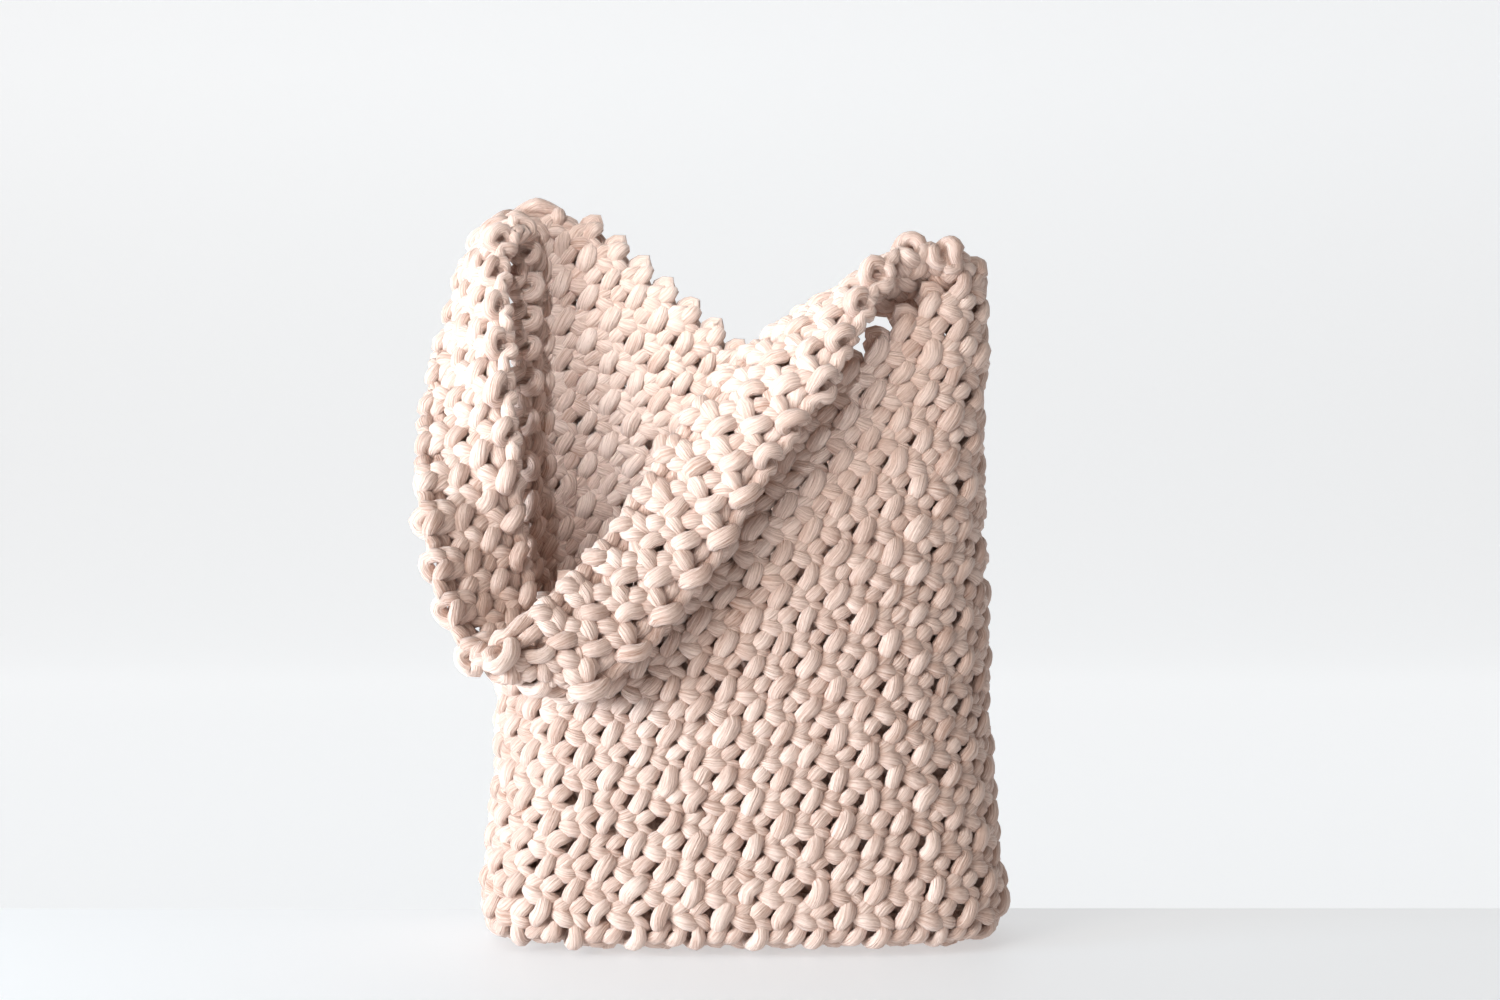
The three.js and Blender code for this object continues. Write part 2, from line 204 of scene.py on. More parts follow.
def onPanel(name, column, height):
    return readGrid(surfaces[name], height / gridStep["height"], column / gridStep["column"])


def onPeak(name, column):
    height = np.full(len(column), panels[name]["peakRow"] * net["rowPitch"])
    return onPanel(name, np.clip(column, 0, net["strapColumns"]), height)


# Tangents of a centripetal spline: at the end of each stretch and at the start of the next one
def splineTangents(points):
    gaps = np.maximum(np.linalg.norm(np.diff(points, axis=0), axis=1) ** 0.5, 1e-6)[:, None]
    ends = np.concatenate((2 * points[:1] - points[1:2], points, 2 * points[-1:] - points[-2:-1]))
    gaps = np.concatenate((gaps[:1], gaps, gaps[-1:]))
    slopes = np.diff(ends, axis=0) / gaps
    wide = (ends[2:] - ends[:-2]) / (gaps[1:] + gaps[:-1])
    tangents = slopes[:-1] - wide + slopes[1:]
    return tangents * gaps[:-1], tangents * gaps[1:]


def hermite(points, inTangents, outTangents, segment, weight):
    w = weight[:, None]
    p, q = points[segment], points[segment + 1]
    m, n = outTangents[segment], inTangents[segment + 1]
    return ((2 * w**3 - 3 * w**2 + 1) * p + (w**3 - 2 * w**2 + w) * m
            + (3 * w**2 - 2 * w**3) * q + (w**3 - w**2) * n)


def strapSurface():
    middle = np.full(1, net["strapColumns"] / 2)
    frontMiddle = onPeak("front", middle)[0, :3]
    backMiddle = onPeak("back", middle)[0, :3]
    start = frontMiddle + (0, 0, net["jointGap"])
    end = backMiddle + (0, 0, net["jointGap"])
    scale = (net["bodyWidth"] / 2, net["bodyDepth"] / 2, peakHeight)
    route = np.vstack((start, start + (0, 0, net["frontRise"]), strapStations[:, :3] * scale, end))
    sideways = np.array([(0.0, 1.0, 0.0)])
    turns = np.vstack((sideways, sideways, strapStations[:, 3:6], sideways))
    curls = np.concatenate(([0, 0], strapStations[:, 6], [0]))

    inTangents, outTangents = splineTangents(route)
    fine = np.linspace(0, len(route) - 1, samples["route"])
    segment = np.minimum(fine.astype(int), len(route) - 2)
    line = hermite(route, inTangents, outTangents, segment, fine - segment)
    length = lengthAlong(line)
    shares = np.arange(0, 1 + gridStep["strapShare"] / 2, gridStep["strapShare"])
    place = np.interp(shares * length[-1], length, fine)
    centre = np.stack([np.interp(place, fine, line[:, k]) for k in range(3)], axis=1)
    along = unit(np.stack(
        [np.interp(place, fine, np.gradient(line[:, k], fine)) for k in range(3)], axis=1))

    low = np.minimum(place.astype(int), len(route) - 2)
    mix = smoothStep(place - low, 0, 1)[:, None]
    across = turns[low] * (1 - mix) + turns[low + 1] * mix
    across = unit(across - (across * along).sum(1)[:, None] * along)
    curl = (curls[low] * (1 - mix[:, 0]) + curls[low + 1] * mix[:, 0]) * net["strapWidth"]
    outward = np.cross(across, along)

    nearFront = (1 - smoothStep(shares, 0, net["strapJoint"]))[:, None, None]
    nearBack = smoothStep(shares, 1 - net["strapJoint"], 1)[:, None, None]
    step, reach = gridStep["strapColumn"], gridReach["strapColumn"]
    columns = np.arange(-reach, net["strapColumns"] + reach + step / 2, step)
    share = columns / net["strapColumns"] * 2 - 1
    offset = (across[:, None] * (-share * net["strapWidth"] / 2)[None, :, None]
              + outward[:, None] * (curl[:, None] * (share**2 - 1 / 3)[None, :])[..., None])
    frontPeak = onPeak("front", columns)
    backPeak = onPeak("back", net["strapColumns"] - columns)
    offset = offset * (1 - nearFront) + (frontPeak[:, :3] - frontMiddle)[None] * nearFront
    offset = offset * (1 - nearBack) + (backPeak[:, :3] - backMiddle)[None] * nearBack
    points = centre[:, None] + offset
    normals = unit(np.cross(np.gradient(points, axis=0), np.gradient(points, axis=1) + 1e-9))
    normals = normals * (1 - nearFront) + frontPeak[None, :, 3:] * nearFront
    normals = unit(normals * (1 - nearBack) + backPeak[None, :, 3:] * nearBack)
    return np.concatenate((points, normals), axis=2)


surfaces["strap"] = strapSurface()
print("surfaces are laid out")


# A place in the net is a half-column, a row and a distance out from the wall's middle. Rows
# above a peak run on into the strap, and half-columns past a side edge into the other panel.
def toWorld(name, halfColumn, row, out):
    panel = panels[name]
    result = np.zeros((len(row), 3))
    inStrap = row > panel["peakRow"]
    right = halfColumn < 0
    left = halfColumn > halfColumns
    column = (halfColumn + (right.astype(int) - left.astype(int)) * halfColumns) / 2
    for side, chosen in ((name, ~(right | left)), (panel["other"], right | left)):
        chosen = chosen & ~inStrap
        if chosen.any():
            result[chosen] = onWall(side, column[chosen], row[chosen], out[chosen])
    if inStrap.any():
        share = (row[inStrap] - panel["peakRow"]) / net["strapRows"]
        place = halfColumn[inStrap] / 2
        if name == "back":
            share, place = 1 - share, net["strapColumns"] - place
        result[inStrap] = onStrap(place, share, out[inStrap])
    return result


def onStrap(column, share, out):
    found = readGrid(surfaces["strap"], share / gridStep["strapShare"],
                     (column + gridReach["strapColumn"]) / gridStep["strapColumn"])
    return found[:, :3] + unit(found[:, 3:]) * out[:, None]


def onWall(name, column, row, out):
    corner = net["cornerRadius"]
    turnHeight = net["underside"] + corner
    height = np.maximum(row * net["rowPitch"], turnHeight)
    found = onPanel(name, column, height)
    point, outward = found[:, :3], unit(found[:, 3:])
    path = turnHeight - np.minimum(row * net["rowPitch"], turnHeight)
    angle = np.minimum(path / corner, math.pi / 2)[:, None]
    inward = np.maximum(path - corner * math.pi / 2, 0)[:, None]
    up = np.array([(0, 0, 1.0)])
    point = point - outward * (corner * (1 - np.cos(angle)) + inward) - up * corner * np.sin(angle)
    outward = outward * np.cos(angle) - up * np.sin(angle)
    return point + outward * out[:, None]


# One square knot in its own frame, in millimetres: right, up and out from the wall's middle,
# then the cord's radius. The second working cord comes in at the upper right, over the first
# one, goes behind the two fillers, makes the leaning bump at the left, goes back behind them
# and leaves in front at the lower right. The first one is the same line turned half way round
# the upright axis, so it makes the two short bars in front. Where a row has no knot at its edge,
# the outer pair of cords runs on as a loop.
knot = {
    "halfPitch": 14.4, "halfRow": 6.1, "sample": 2.8 * mm, "sides": 8,
    "flatness": 0.78, "breadth": 1.1, "endTaper": 0.6,
    "twist": 60.0, "fibreRadius": 3.3 * mm, "fibreSpan": 5,
    "seed": 11, "shake": 0.25, "sizeShake": 0.05,
    "shift": 0.9, "leanAcross": 0.2, "leanUp": 0.1, "swell": 0.06,
    "close": 0.1, "openRow": 10, "closeRow": 22,
    "working": np.array([
        (11.2, 6.1, 0.3, 3.0),
        (12.6, 5.0, 3.5, 3.5),
        (9.8, 2.8, 5.8, 4.3),
        (6.2, -0.2, 4.4, 3.7),
        (4.2, -0.6, -0.3, 2.8),
        (2.6, 1.0, -4.1, 3.5),
        (-1.6, 3.0, -5.2, 4.4),
        (-5.2, 4.6, -2.5, 3.4),
        (-7.4, 5.5, 0.8, 2.9),
        (-6.6, 5.6, 4.1, 3.3),
        (-6.8, 3.4, 6.9, 4.0),
        (-9.0, 0.0, 7.7, 4.2),
        (-11.3, -3.6, 6.3, 4.0),
        (-12.2, -5.7, 3.5, 3.2),
        (-10.4, -5.7, 0.2, 2.9),
        (-5.8, -5.6, -3.1, 3.6),
        (-1.8, -4.0, -6.0, 4.7),
        (2.4, -1.6, -4.7, 3.7),
        (4.2, -1.2, -0.6, 2.8),
        (6.0, -2.2, 3.9, 3.1),
        (9.2, -4.4, 5.0, 3.5),
        (12.0, -6.2, 2.9, 3.1),
        (11.2, -6.1, 0.3, 3.0),
    ]),
    "filler": np.array([(3.2, 6.1, 0.3, 2.9), (2.6, 0.0, 0.0, 2.8), (3.2, -6.1, 0.3, 2.9)]),
    "loopOut": np.array([
        (11.2, 6.1, 0.3, 2.9), (11.6, 3.6, 0.9, 3.8), (11.4, 0.0, 1.3, 4.2),
        (11.6, -3.6, 0.9, 3.8), (11.2, -6.1, 0.3, 2.9)]),
    "loopIn": np.array([(3.2, 6.1, 0.3, 2.9), (3.8, 0.0, 1.2, 4.0), (3.2, -6.1, 0.3, 2.9)]),
}
random = np.random.default_rng(knot["seed"])

# For the front and for the back, four random values a knot: its shift to the right and up, its
# lean and its swell. The underside's knots have places of their own in the front's table.
shakeTable = {"rows": 120, "columns": 60, "margin": 5, "bottomRow": 60, "bottomColumn": 20}
knotShakes = random.normal(0, 1, (2, shakeTable["rows"], shakeTable["columns"], 4))

turned = (-1, 1, -1, 1)        # half way round the upright axis
mirrored = (-1, 1, 1, 1)       # left and right swapped
pushedBack = (1, 1, -1, 1)     # front and back swapped

lines = {
    "secondWorking": knot["working"], "firstWorking": knot["working"] * turned,
    "leftFiller": knot["filler"] * mirrored, "rightFiller": knot["filler"] * pushedBack,
    "rightEdge": knot["loopOut"], "leftEdge": knot["loopOut"] * turned,
    "leftInner": knot["loopIn"] * mirrored, "rightInner": knot["loopIn"] * pushedBack,
}


def rimOf(name, row):
    return min(halfColumns, strapCells + panels[name]["peakRow"] - row)


def hasKnot(name, halfColumn, row):
    if halfColumn == 0:
        return row < panels[name]["freeRow"]
    if halfColumn == halfColumns:
        return row < panels[panels[name]["other"]]["freeRow"]
    return halfColumn < rimOf(name, row)


def topRowOf(name, cell):
    return panels[name]["peakRow"] + strapCells - 1 - cell


# The stretch of one cord through one row. Each cell, half a column wide, carries two cords,
# and takes turns as the left and the right half of a knot.
def cordInRow(cell, isLeft, row, isKnot):
    isRightHalf = (cell + row) % 2 == 0
    centre = cell + 1 if isRightHalf else cell
    if isKnot(centre):
        kinds = ("rightFiller", "secondWorking") if isRightHalf else ("firstWorking", "leftFiller")
    else:
        kinds = ("rightInner", "rightEdge") if isRightHalf else ("leftEdge", "leftInner")
    return lines[kinds[0] if isLeft else kinds[1]], centre


# Each knot sits, leans and swells a little in its own way, the same for all its cords. Cords
# are a little fuller everywhere but in the front's lower rows and in the folds at the rim.
def shaken(line, side=0, centre=0, row=0):
    margin = shakeTable["margin"]
    right, up, lean, swell = knotShakes[side, row + margin, centre + margin]
    moved = line.copy()
    hold = 1 - (line[:, 1] / knot["halfRow"]) ** 2
    moved[:, 0] += hold * (right * knot["shift"] + line[:, 1] * lean * knot["leanAcross"])
    moved[:, 1] += hold * (up * knot["shift"] - line[:, 0] * lean * knot["leanUp"])
    moved[:, 2:] *= 1 + swell * knot["swell"]
    moved[:, :3] += random.normal(0, knot["shake"], (len(line), 3))
    closeness = 1 if side else smoothStep(row, knot["openRow"], knot["closeRow"])
    moved[:, 3] *= 1 + closeness * knot["close"] + random.normal(0, knot["sizeShake"])
    moved[[0, -1]] = line[[0, -1]]
    return moved


def placeLine(name, line, centre, row):
    halfColumn = centre - line[:, 0] / knot["halfPitch"]
    rows = row + line[:, 1] / (2 * knot["halfRow"])
    points = toWorld(name, halfColumn, rows, line[:, 2] * mm)
    outward = unit(toWorld(name, halfColumn, rows, (line[:, 2] + 1) * mm) - points)
    return points, line[:, 3] * mm, outward


def cordDownPanel(name, cell, isLeft, topRow, bottomRow):
    stretches = []
    for row in range(topRow, bottomRow - 1, -1):
        line, centre = cordInRow(cell, isLeft, row, lambda place: hasKnot(name, place, row))
        line = shaken(line, int(name == "back"), centre, row)
        stretches.append((ownerOf(name, row), *placeLine(name, line, centre, row)))
    return stretches


# The first rows of a panel's lower and upper piece; the rows under them belong to the base
firstRow = {"low": 2, "high": 14}


def ownerOf(name, row):
    if row < firstRow["low"]:
        return "baseNet"
    return name + ("NetLow" if row < firstRow["high"] else "NetHigh")


# Each half of the strap is knotted like the panel it goes on from, so at its middle row the
# knots turn round
def cordAlongStrap(cell, isLeft):
    stretches = []
    rows = net["strapRows"]
    for row in range(1, rows):
        if row <= rows // 2:
            name, ownCell, left, panelRow = "front", cell, isLeft, panels["front"]["peakRow"] + row
        else:
            name, ownCell, left = "back", strapCells - 1 - cell, not isLeft
            panelRow = panels["back"]["peakRow"] + rows - row
        line, centre = cordInRow(ownCell, left, row, lambda place: 0 < place < strapCells)
        line = shaken(line, int(name == "back"), centre, panelRow)
        if row <= rows // 2:
            line = line[::-1]
        stretches.append(("strapNet", *placeLine(name, line, centre, panelRow)))
    return stretches


def turnedRound(stretches):
    return [(owner, *(values[::-1] for values in line)) for owner, *line in reversed(stretches)]


# Where a row begins at the mouth, its outer pair of cords is one cord folded over
rimFold = np.array([
    (-11.6, 8.0, 0.8, 3.5),
    (-8.6, 10.2, 1.6, 4.2),
    (-4.8, 9.0, 1.0, 3.6),
])


def rimCord(name, cell):
    top = topRowOf(name, cell)
    left = cordDownPanel(name, cell, True, top, net["lowestRow"])
    right = cordDownPanel(name, cell, False, top, net["lowestRow"])
    fold = placeLine(name, shaken(rimFold), cell, top)
    return turnedRound(left) + [(ownerOf(name, top), *fold)] + right


def strapCord(cell, isLeft):
    frontPeak, backPeak = panels["front"]["peakRow"], panels["back"]["peakRow"]
    front = cordDownPanel("front", cell, isLeft, frontPeak, net["lowestRow"])
    back = cordDownPanel("back", strapCells - 1 - cell, not isLeft, backPeak, net["lowestRow"])
    return turnedRound(front) + cordAlongStrap(cell, isLeft) + back


# Meshes grow one tube at a time and are made in one go
class CordMesh:
    def __init__(self):
        self.points, self.quads, self.triangles = [], [], []
        self.fibre, self.tone = [], []
        self.count = 0

    def addTube(self, centres, radii, outward, start, tone):
        sides = knot["sides"]
        along = unit(np.gradient(centres, axis=0))
        normals = carriedNormals(along)
        sidewards = np.cross(along, normals)
        angle = np.arange(sides) * 2 * math.pi / sides
        ring = (np.cos(angle)[None, :, None] * normals[:, None]
                + np.sin(angle)[None, :, None] * sidewards[:, None])
        outwardShare = (ring * outward[:, None]).sum(-1, keepdims=True)
        ring = ring - outward[:, None] * outwardShare * (1 - knot["flatness"])
        points = centres[:, None] + ring * radii[:, None, None] * knot["breadth"]
        length = start + lengthAlong(centres)
        turn = angle[None] + knot["twist"] * length[:, None]
        radius = knot["fibreRadius"]
        fibre = np.stack((np.cos(turn) * radius, np.sin(turn) * radius,
                          np.repeat(length[:, None], sides, 1)), -1)

        rings = len(centres)
        first = self.count + np.arange(rings - 1)[:, None] * sides
        side = np.arange(sides)[None]
        after = (side + 1) % sides
        second = first + sides
        quads = np.stack((first + side, first + after, second + after, second + side), -1)
        self.quads.append(quads.reshape(-1, 4))
        low, high = self.count + rings * sides, self.count + rings * sides + 1
        lastRing = self.count + (rings - 1) * sides
        for j in range(sides):
            k = (j + 1) % sides
            self.triangles.append((low, self.count + k, self.count + j))
            self.triangles.append((high, lastRing + j, lastRing + k))
        self.points += [points.reshape(-1, 3), centres[:1], centres[-1:]]
        self.fibre += [fibre.reshape(-1, 3), fibre[0, :1], fibre[-1, :1]]
        self.tone.append(np.full(rings * sides + 2, tone))
        self.count += rings * sides + 2

    def build(self, name):
        points = np.concatenate(self.points)
        quads = np.concatenate(self.quads)
        triangles = np.array(self.triangles)
        corners = np.concatenate((quads.ravel(), triangles.ravel()))
        sizes = np.concatenate((np.full(len(quads), 4), np.full(len(triangles), 3)))
        starts = np.concatenate(([0], np.cumsum(sizes)[:-1]))
        mesh = bpy.data.meshes.new(name)
        mesh.vertices.add(len(points))
        mesh.vertices.foreach_set("co", points.astype(np.float32).ravel())
        mesh.loops.add(len(corners))
        mesh.loops.foreach_set("vertex_index", corners.astype(np.int32))
        mesh.polygons.add(len(sizes))
        mesh.polygons.foreach_set("loop_start", starts.astype(np.int32))
        mesh.update(calc_edges=True)
        mesh.shade_smooth()
        mesh.attributes.new("fibre", "FLOAT_VECTOR", "POINT").data.foreach_set(
            "vector", np.concatenate(self.fibre).astype(np.float32).ravel())
        mesh.attributes.new("cordTone", "FLOAT", "POINT").data.foreach_set(
            "value", np.concatenate(self.tone).astype(np.float32))
        mesh.validate()
        piece = bpy.data.objects.new(name, mesh)
        bpy.context.scene.collection.objects.link(piece)
        triangleCount = len(quads) * 2 + len(triangles)
        print(name, "has", triangleCount, "triangles")
        return piece


# A direction across each cord that turns with it and never spins. The first one comes from a
# slanting direction that no cord starts along.
slanting = (0.31, 0.52, 0.79)


def carriedNormals(along):
    first = np.cross(along[0], slanting)
    normal = first / np.linalg.norm(first)
    result = np.empty_like(along)
    result[0] = normal
    for k in range(1, len(along)):
        tangent = along[k]
        normal = normal - tangent * normal.dot(tangent)
        normal /= math.sqrt(normal.dot(normal))
        result[k] = normal
    return result


meshes = {name: CordMesh() for name in
          ("frontNetLow", "frontNetHigh", "backNetLow", "backNetHigh", "baseNet", "strapNet")}


# A cord is one smooth line through all its stretches, cut where its owner changes
def layCord(stretches):
    owners, parts = [], []
    for owner, *line in stretches:
        skip = 1 if parts else 0
        owners += [owner] * (len(line[0]) - skip)
        parts.append([values[skip:] for values in line])
    points, radii, outward = (np.concatenate(values) for values in zip(*parts))
    inTangents, outTangents = splineTangents(points)
    chords = np.linalg.norm(np.diff(points, axis=0), axis=1)
    counts = np.maximum(1, np.round(chords / knot["sample"])).astype(int)
    segment = np.repeat(np.arange(len(chords)), counts)
    within = np.concatenate([np.arange(n) / n for n in counts])
    centres = hermite(points, inTangents, outTangents, segment, within)
    sizes = radii[segment] * (1 - within) + radii[segment + 1] * within
    faces = unit(outward[segment] * (1 - within)[:, None] + outward[segment + 1] * within[:, None])
    sampleOwner = np.array(owners)[segment + 1]
    length = lengthAlong(centres)
    tone = random.random()
    begin = random.random() * knot["fibreSpan"]
    breaks = np.flatnonzero(sampleOwner[1:] != sampleOwner[:-1]) + 1
    bounds = [0, *breaks, len(centres)]
    for low, high in zip(bounds[:-1], bounds[1:]):
        first, last = max(low - 1, 0), min(high + 1, len(centres))
        part, thick = centres[first:last], sizes[first:last].copy()
        thick[0] *= knot["endTaper"]
        thick[-1] *= knot["endTaper"]
        start = begin + length[first]
        meshes[sampleOwner[low]].addTube(part, thick, faces[first:last], start, tone)


for cell in range(strapCells):
    for isLeft in (True, False):
        layCord(strapCord(cell, isLeft))
for panelName in panels:
    for cell in range(strapCells, halfColumns):
        layCord(rimCord(panelName, cell))
print("net is knotted")


# The underside is a flat net of the same knots inside the lowest ring
bottom = {
    "halfPitch": 14.4 * mm, "rowPitch": 12.2 * mm, "height": 14.2 * mm,
    "halfLength": 112 * mm, "halfWidth": 44 * mm, "squareness": 3.6, "halfCells": 4,
}


def onBottom(halfColumn, row, out):
    x = row * bottom["rowPitch"]
    y = halfColumn * bottom["halfPitch"]
    return np.stack((x, y, bottom["height"] - out), axis=1)


def bottomCord(cell, isLeft):
    middle = (cell + 0.5) * bottom["halfPitch"]
    share = 1 - (abs(middle) / bottom["halfWidth"]) ** bottom["squareness"]
    if share <= 0:
        return
    reach = int(bottom["halfLength"] * share ** (1 / bottom["squareness"]) / bottom["rowPitch"])
    stretches = []
    for row in range(reach, -reach - 1, -1):
        line, centre = cordInRow(cell, isLeft, row, lambda place: True)
        line = shaken(line, 0, centre + shakeTable["bottomColumn"], row + shakeTable["bottomRow"])
        halfColumn = centre - line[:, 0] * mm / bottom["halfPitch"]
        rows = row + line[:, 1] / (2 * knot["halfRow"])
        points = onBottom(-halfColumn, rows, line[:, 2] * mm)
        downward = np.tile((0, 0, -1.0), (len(points), 1))
        stretches.append(("baseNet", points, line[:, 3] * mm, downward))
    layCord(stretches)


for cell in range(-bottom["halfCells"], bottom["halfCells"]):
    for isLeft in (True, False):
        bottomCord(cell, isLeft)
print("underside is knotted")

# Cotton cord: fibres along the cord in loose bundles, soft tone changes, a matte dusty pink, and
# painted shade that darkens the colour towards the deep tone in the grooves between fibres
cotton = {
    "pale": (0.87, 0.685, 0.60, 1), "deep": (0.36, 0.175, 0.11, 1), "roughness": 0.95, "sheen": 0.3,
    "bundleAcross": 1700.0, "bundleAlong": 60.0, "fibreAcross": 4200.0, "fibreAlong": 170.0,
    "mottle": 60.0, "toneLow": 0.28, "toneHigh": 0.60, "depth": 1.2 * mm, "strength": 1.0,
    "bundleDetail": 1.0, "fibreDetail": 2.0, "mottleDetail": 2.0,
    "bundleWeight": 0.65, "fibreWeight": 0.35, "grooveShadeWeight": 0.65, "cordWeight": 0.10,
    "mottleWeight": 0.25,
}
fibreSockets = {
    "Bundle Across": "bundleAcross", "Bundle Along": "bundleAlong",
    "Fibre Across": "fibreAcross", "Fibre Along": "fibreAlong", "Mottle": "mottle",
}


def addNode(nodes, kind, **settings):
    node = nodes.new(kind)
    for name, value in settings.items():
        if name.startswith("input"):
            node.inputs[int(name[5:])].default_value = value
        else:
            setattr(node, name, value)
    return node


def fibreGroup(look):
    group = bpy.data.node_groups.new("cordFibre", "ShaderNodeTree")
    nodes, links = group.nodes, group.links
    for name in fibreSockets:
        group.interface.new_socket(name, in_out="INPUT", socket_type="NodeSocketFloat")
    for name in ("Height", "ToneAndGrooveShade"):
        group.interface.new_socket(name, in_out="OUTPUT", socket_type="NodeSocketFloat")
    inputs, outputs = nodes.new("NodeGroupInput"), nodes.new("NodeGroupOutput")
    place = addNode(nodes, "ShaderNodeAttribute", attribute_name="fibre")
    cordTone = addNode(nodes, "ShaderNodeAttribute", attribute_name="cordTone")

    def noiseAlong(across, along, detail):
        scale = nodes.new("ShaderNodeCombineXYZ")
        links.new(inputs.outputs[across], scale.inputs["X"])
        links.new(inputs.outputs[across], scale.inputs["Y"])
        links.new(inputs.outputs[along], scale.inputs["Z"])
        stretched = addNode(nodes, "ShaderNodeVectorMath", operation="MULTIPLY")
        links.new(place.outputs["Vector"], stretched.inputs[0])
        links.new(scale.outputs[0], stretched.inputs[1])
        noise = nodes.new("ShaderNodeTexNoise")
        noise.inputs["Scale"].default_value = 1
        noise.inputs["Detail"].default_value = detail
        links.new(stretched.outputs[0], noise.inputs["Vector"])
        return noise.outputs["Fac"]

    def weighted(value, weight, before=None):
        node = addNode(nodes, "ShaderNodeMath", operation="MULTIPLY_ADD", input1=weight, input2=0.0)
        links.new(value, node.inputs[0])
        if before is not None:
            links.new(before, node.inputs[2])
        return node.outputs[0]

    bundles = noiseAlong("Bundle Across", "Bundle Along", look["bundleDetail"])
    fibres = noiseAlong("Fibre Across", "Fibre Along", look["fibreDetail"])
    mottle = nodes.new("ShaderNodeTexNoise")
    mottle.inputs["Detail"].default_value = look["mottleDetail"]
    links.new(place.outputs["Vector"], mottle.inputs["Vector"])
    links.new(inputs.outputs["Mottle"], mottle.inputs["Scale"])
    height = weighted(bundles, look["bundleWeight"], weighted(fibres, look["fibreWeight"]))
    tone = weighted(cordTone.outputs["Fac"], look["cordWeight"],
                    weighted(mottle.outputs["Fac"], look["mottleWeight"]))
    # The fibre height also sets the tone, so the grooves between fibres get painted shade
    links.new(weighted(height, look["grooveShadeWeight"], tone), outputs.inputs["ToneAndGrooveShade"])
    links.new(height, outputs.inputs["Height"])
    return group


def cottonMaterial(look):
    material = bpy.data.materials.new("cottonCord")
    material.use_nodes = True
    nodes, links = material.node_tree.nodes, material.node_tree.links
    shader = nodes["Principled BSDF"]
    shader.inputs["Roughness"].default_value = look["roughness"]
    shader.inputs["Sheen Weight"].default_value = look["sheen"]
    fibre = nodes.new("ShaderNodeGroup")
    fibre.node_tree = fibreGroup(look)
    for socket, name in fibreSockets.items():
        fibre.inputs[socket].default_value = look[name]
    # Low tone, mostly in the fibre grooves, takes the deep colour: painted groove shade together
    # with random darker tone
    ramp = nodes.new("ShaderNodeValToRGB")
    low, high = ramp.color_ramp.elements
    low.position, low.color = look["toneLow"], look["deep"]
    high.position, high.color = look["toneHigh"], look["pale"]
    links.new(fibre.outputs["ToneAndGrooveShade"], ramp.inputs["Fac"])
    links.new(ramp.outputs["Color"], shader.inputs["Base Color"])
    bump = nodes.new("ShaderNodeBump")
    bump.inputs["Strength"].default_value = look["strength"]
    bump.inputs["Distance"].default_value = look["depth"]
    links.new(fibre.outputs["Height"], bump.inputs["Height"])
    links.new(bump.outputs["Normal"], shader.inputs["Normal"])
    return material


cottonCord = cottonMaterial(cotton)
replaced = {
    "frontNetLow": "front_panel", "frontNetHigh": "front_panel",
    "backNetLow": "back_panel", "backNetHigh": "back_panel",
    "baseNet": "base_panel", "strapNet": "strap",
}
for name, node in replaced.items():
    piece = meshes[name].build(name)
    piece.data.materials.append(cottonCord)
    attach(piece, "root")
    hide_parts(*[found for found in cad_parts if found.startswith(node)])
print("pieces are made")

# Pale table with a rounded far edge and a backdrop curving up far behind it, both faintly
# glowing, soft light from the left and from above, and a narrow light into the bag's mouth
room = {
    "color": (0.44, 0.45, 0.46, 1), "roughness": 0.6, "tableGlow": 0.46, "backdropGlow": 0.59,
    "glow": (0.97, 0.985, 1.0, 1), "width": 24.0, "front": -8.0, "height": 8.0,
    "edge": 0.083, "round": 0.003, "lipSteps": 4, "drop": 0.03,
    "back": 3.5, "curve": 1.2, "bendSteps": 16,
}
lights = {
    "window": {"place": (-2.80, -3.50, 1.20), "aim": (0, 0, 0.2), "size": 1.6, "watts": 100,
               "color": (1.0, 0.92, 0.85)},
    "side": {"place": (-1.25, -0.66, 0.22), "aim": (0, 0, 0.12), "size": 0.6, "watts": 28,
             "color": (0.76, 0.90, 1.0)},
    "top": {"place": (-1.20, -2.40, 4.00), "aim": (0, 0, 0.2), "size": 2.4, "watts": 36,
            "color": (1.0, 0.97, 0.93)},
    "mouth": {"place": (-0.35, -1.90, 1.20), "aim": (-0.03, 0.04, 0.335), "size": 0.15,
              "watts": 240, "color": (0.88, 0.96, 1.0), "cone": 7.5},
}
sky = {"color": (1.0, 0.92, 0.85, 1), "strength": 0.20}


def plainMaterial(name, color, roughness, glow, glowStrength):
    material = bpy.data.materials.new(name)
    material.use_nodes = True
    shader = material.node_tree.nodes["Principled BSDF"]
    shader.inputs["Base Color"].default_value = color
    shader.inputs["Roughness"].default_value = roughness
    shader.inputs["Emission Color"].default_value = glow
    shader.inputs["Emission Strength"].default_value = glowStrength
    return material


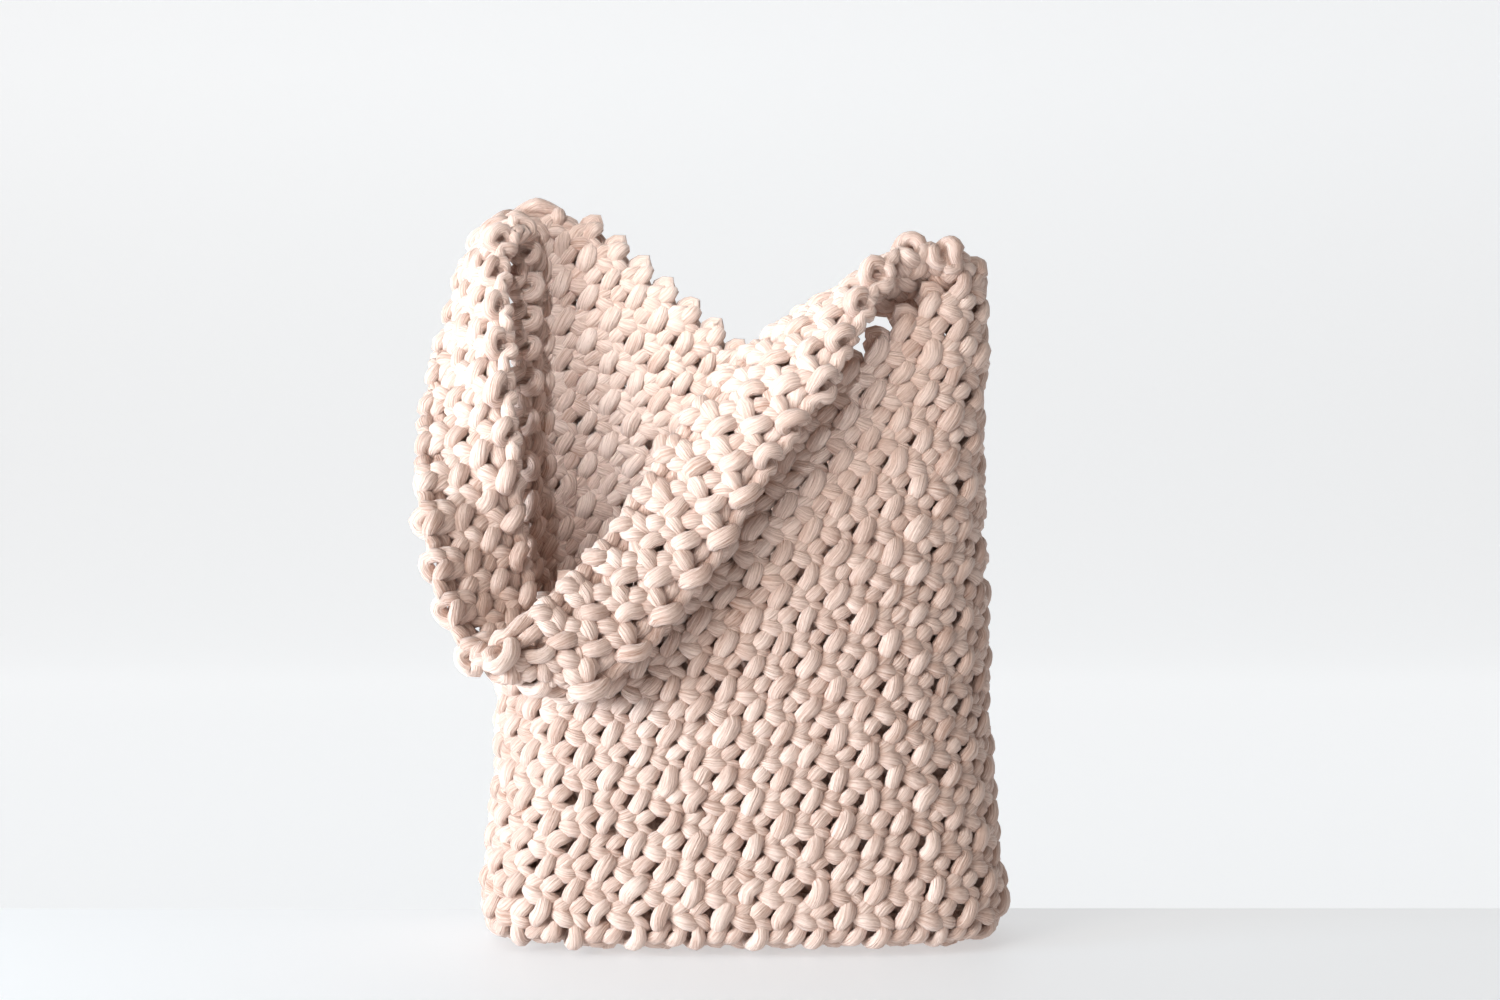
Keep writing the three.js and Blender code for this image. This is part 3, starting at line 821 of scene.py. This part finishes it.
def addRoom(look):
    edge, corner, curve = look["edge"], look["round"], look["curve"]
    lip = [(edge - corner + corner * math.sin(angle), corner * math.cos(angle) - corner)
           for angle in np.linspace(0, math.pi / 2, look["lipSteps"] + 1)]
    bend = [(look["back"] - curve + curve * math.sin(angle),
             curve - curve * math.cos(angle) - look["drop"])
            for angle in np.linspace(0, math.pi / 2, look["bendSteps"] + 1)]
    profile = [(look["front"], 0), *lip, (edge, -look["drop"]), *bend,
               (look["back"], look["height"])]
    halfWidth = look["width"] / 2
    corners = [(x, y, z) for y, z in profile for x in (-halfWidth, halfWidth)]
    faces = [(k, k + 1, k + 3, k + 2) for k in range(0, len(corners) - 2, 2)]
    mesh = bpy.data.meshes.new("tableAndBackdrop")
    mesh.from_pydata(corners, [], faces)
    for name in ("table", "backdrop"):
        mesh.materials.append(plainMaterial(name, look["color"], look["roughness"], look["glow"],
                                            look[name + "Glow"]))
    for face in mesh.polygons[-len(bend) - 1:]:
        face.material_index = 1
        face.use_smooth = True
    sheet = bpy.data.objects.new("tableAndBackdrop", mesh)
    bpy.context.scene.collection.objects.link(sheet)


def addLight(name, look):
    if "cone" in look:
        data = bpy.data.lights.new(name + "Light", "SPOT")
        data.spot_size = math.radians(look["cone"])
        data.spot_blend = 1
        data.shadow_soft_size = look["size"] / 2
    else:
        data = bpy.data.lights.new(name + "Light", "AREA")
        data.size = look["size"]
    data.energy = look["watts"]
    data.color = look["color"]
    light = bpy.data.objects.new(name + "Light", data)
    light.location = look["place"]
    light.visible_camera = False
    x, y, z = np.array(look["aim"]) - np.array(look["place"])
    light.rotation_euler = (math.atan2(math.hypot(x, y), -z), 0, math.atan2(-x, y))
    bpy.context.scene.collection.objects.link(light)


def addSky(look):
    world = bpy.data.worlds.new("studio")
    world.use_nodes = True
    background = world.node_tree.nodes["Background"]
    background.inputs["Color"].default_value = look["color"]
    background.inputs["Strength"].default_value = look["strength"]
    bpy.context.scene.world = world


addRoom(room)
for name, look in lights.items():
    addLight(name, look)
addSky(sky)
bpy.context.scene.view_settings.view_transform = "Standard"
print("studio is lit")
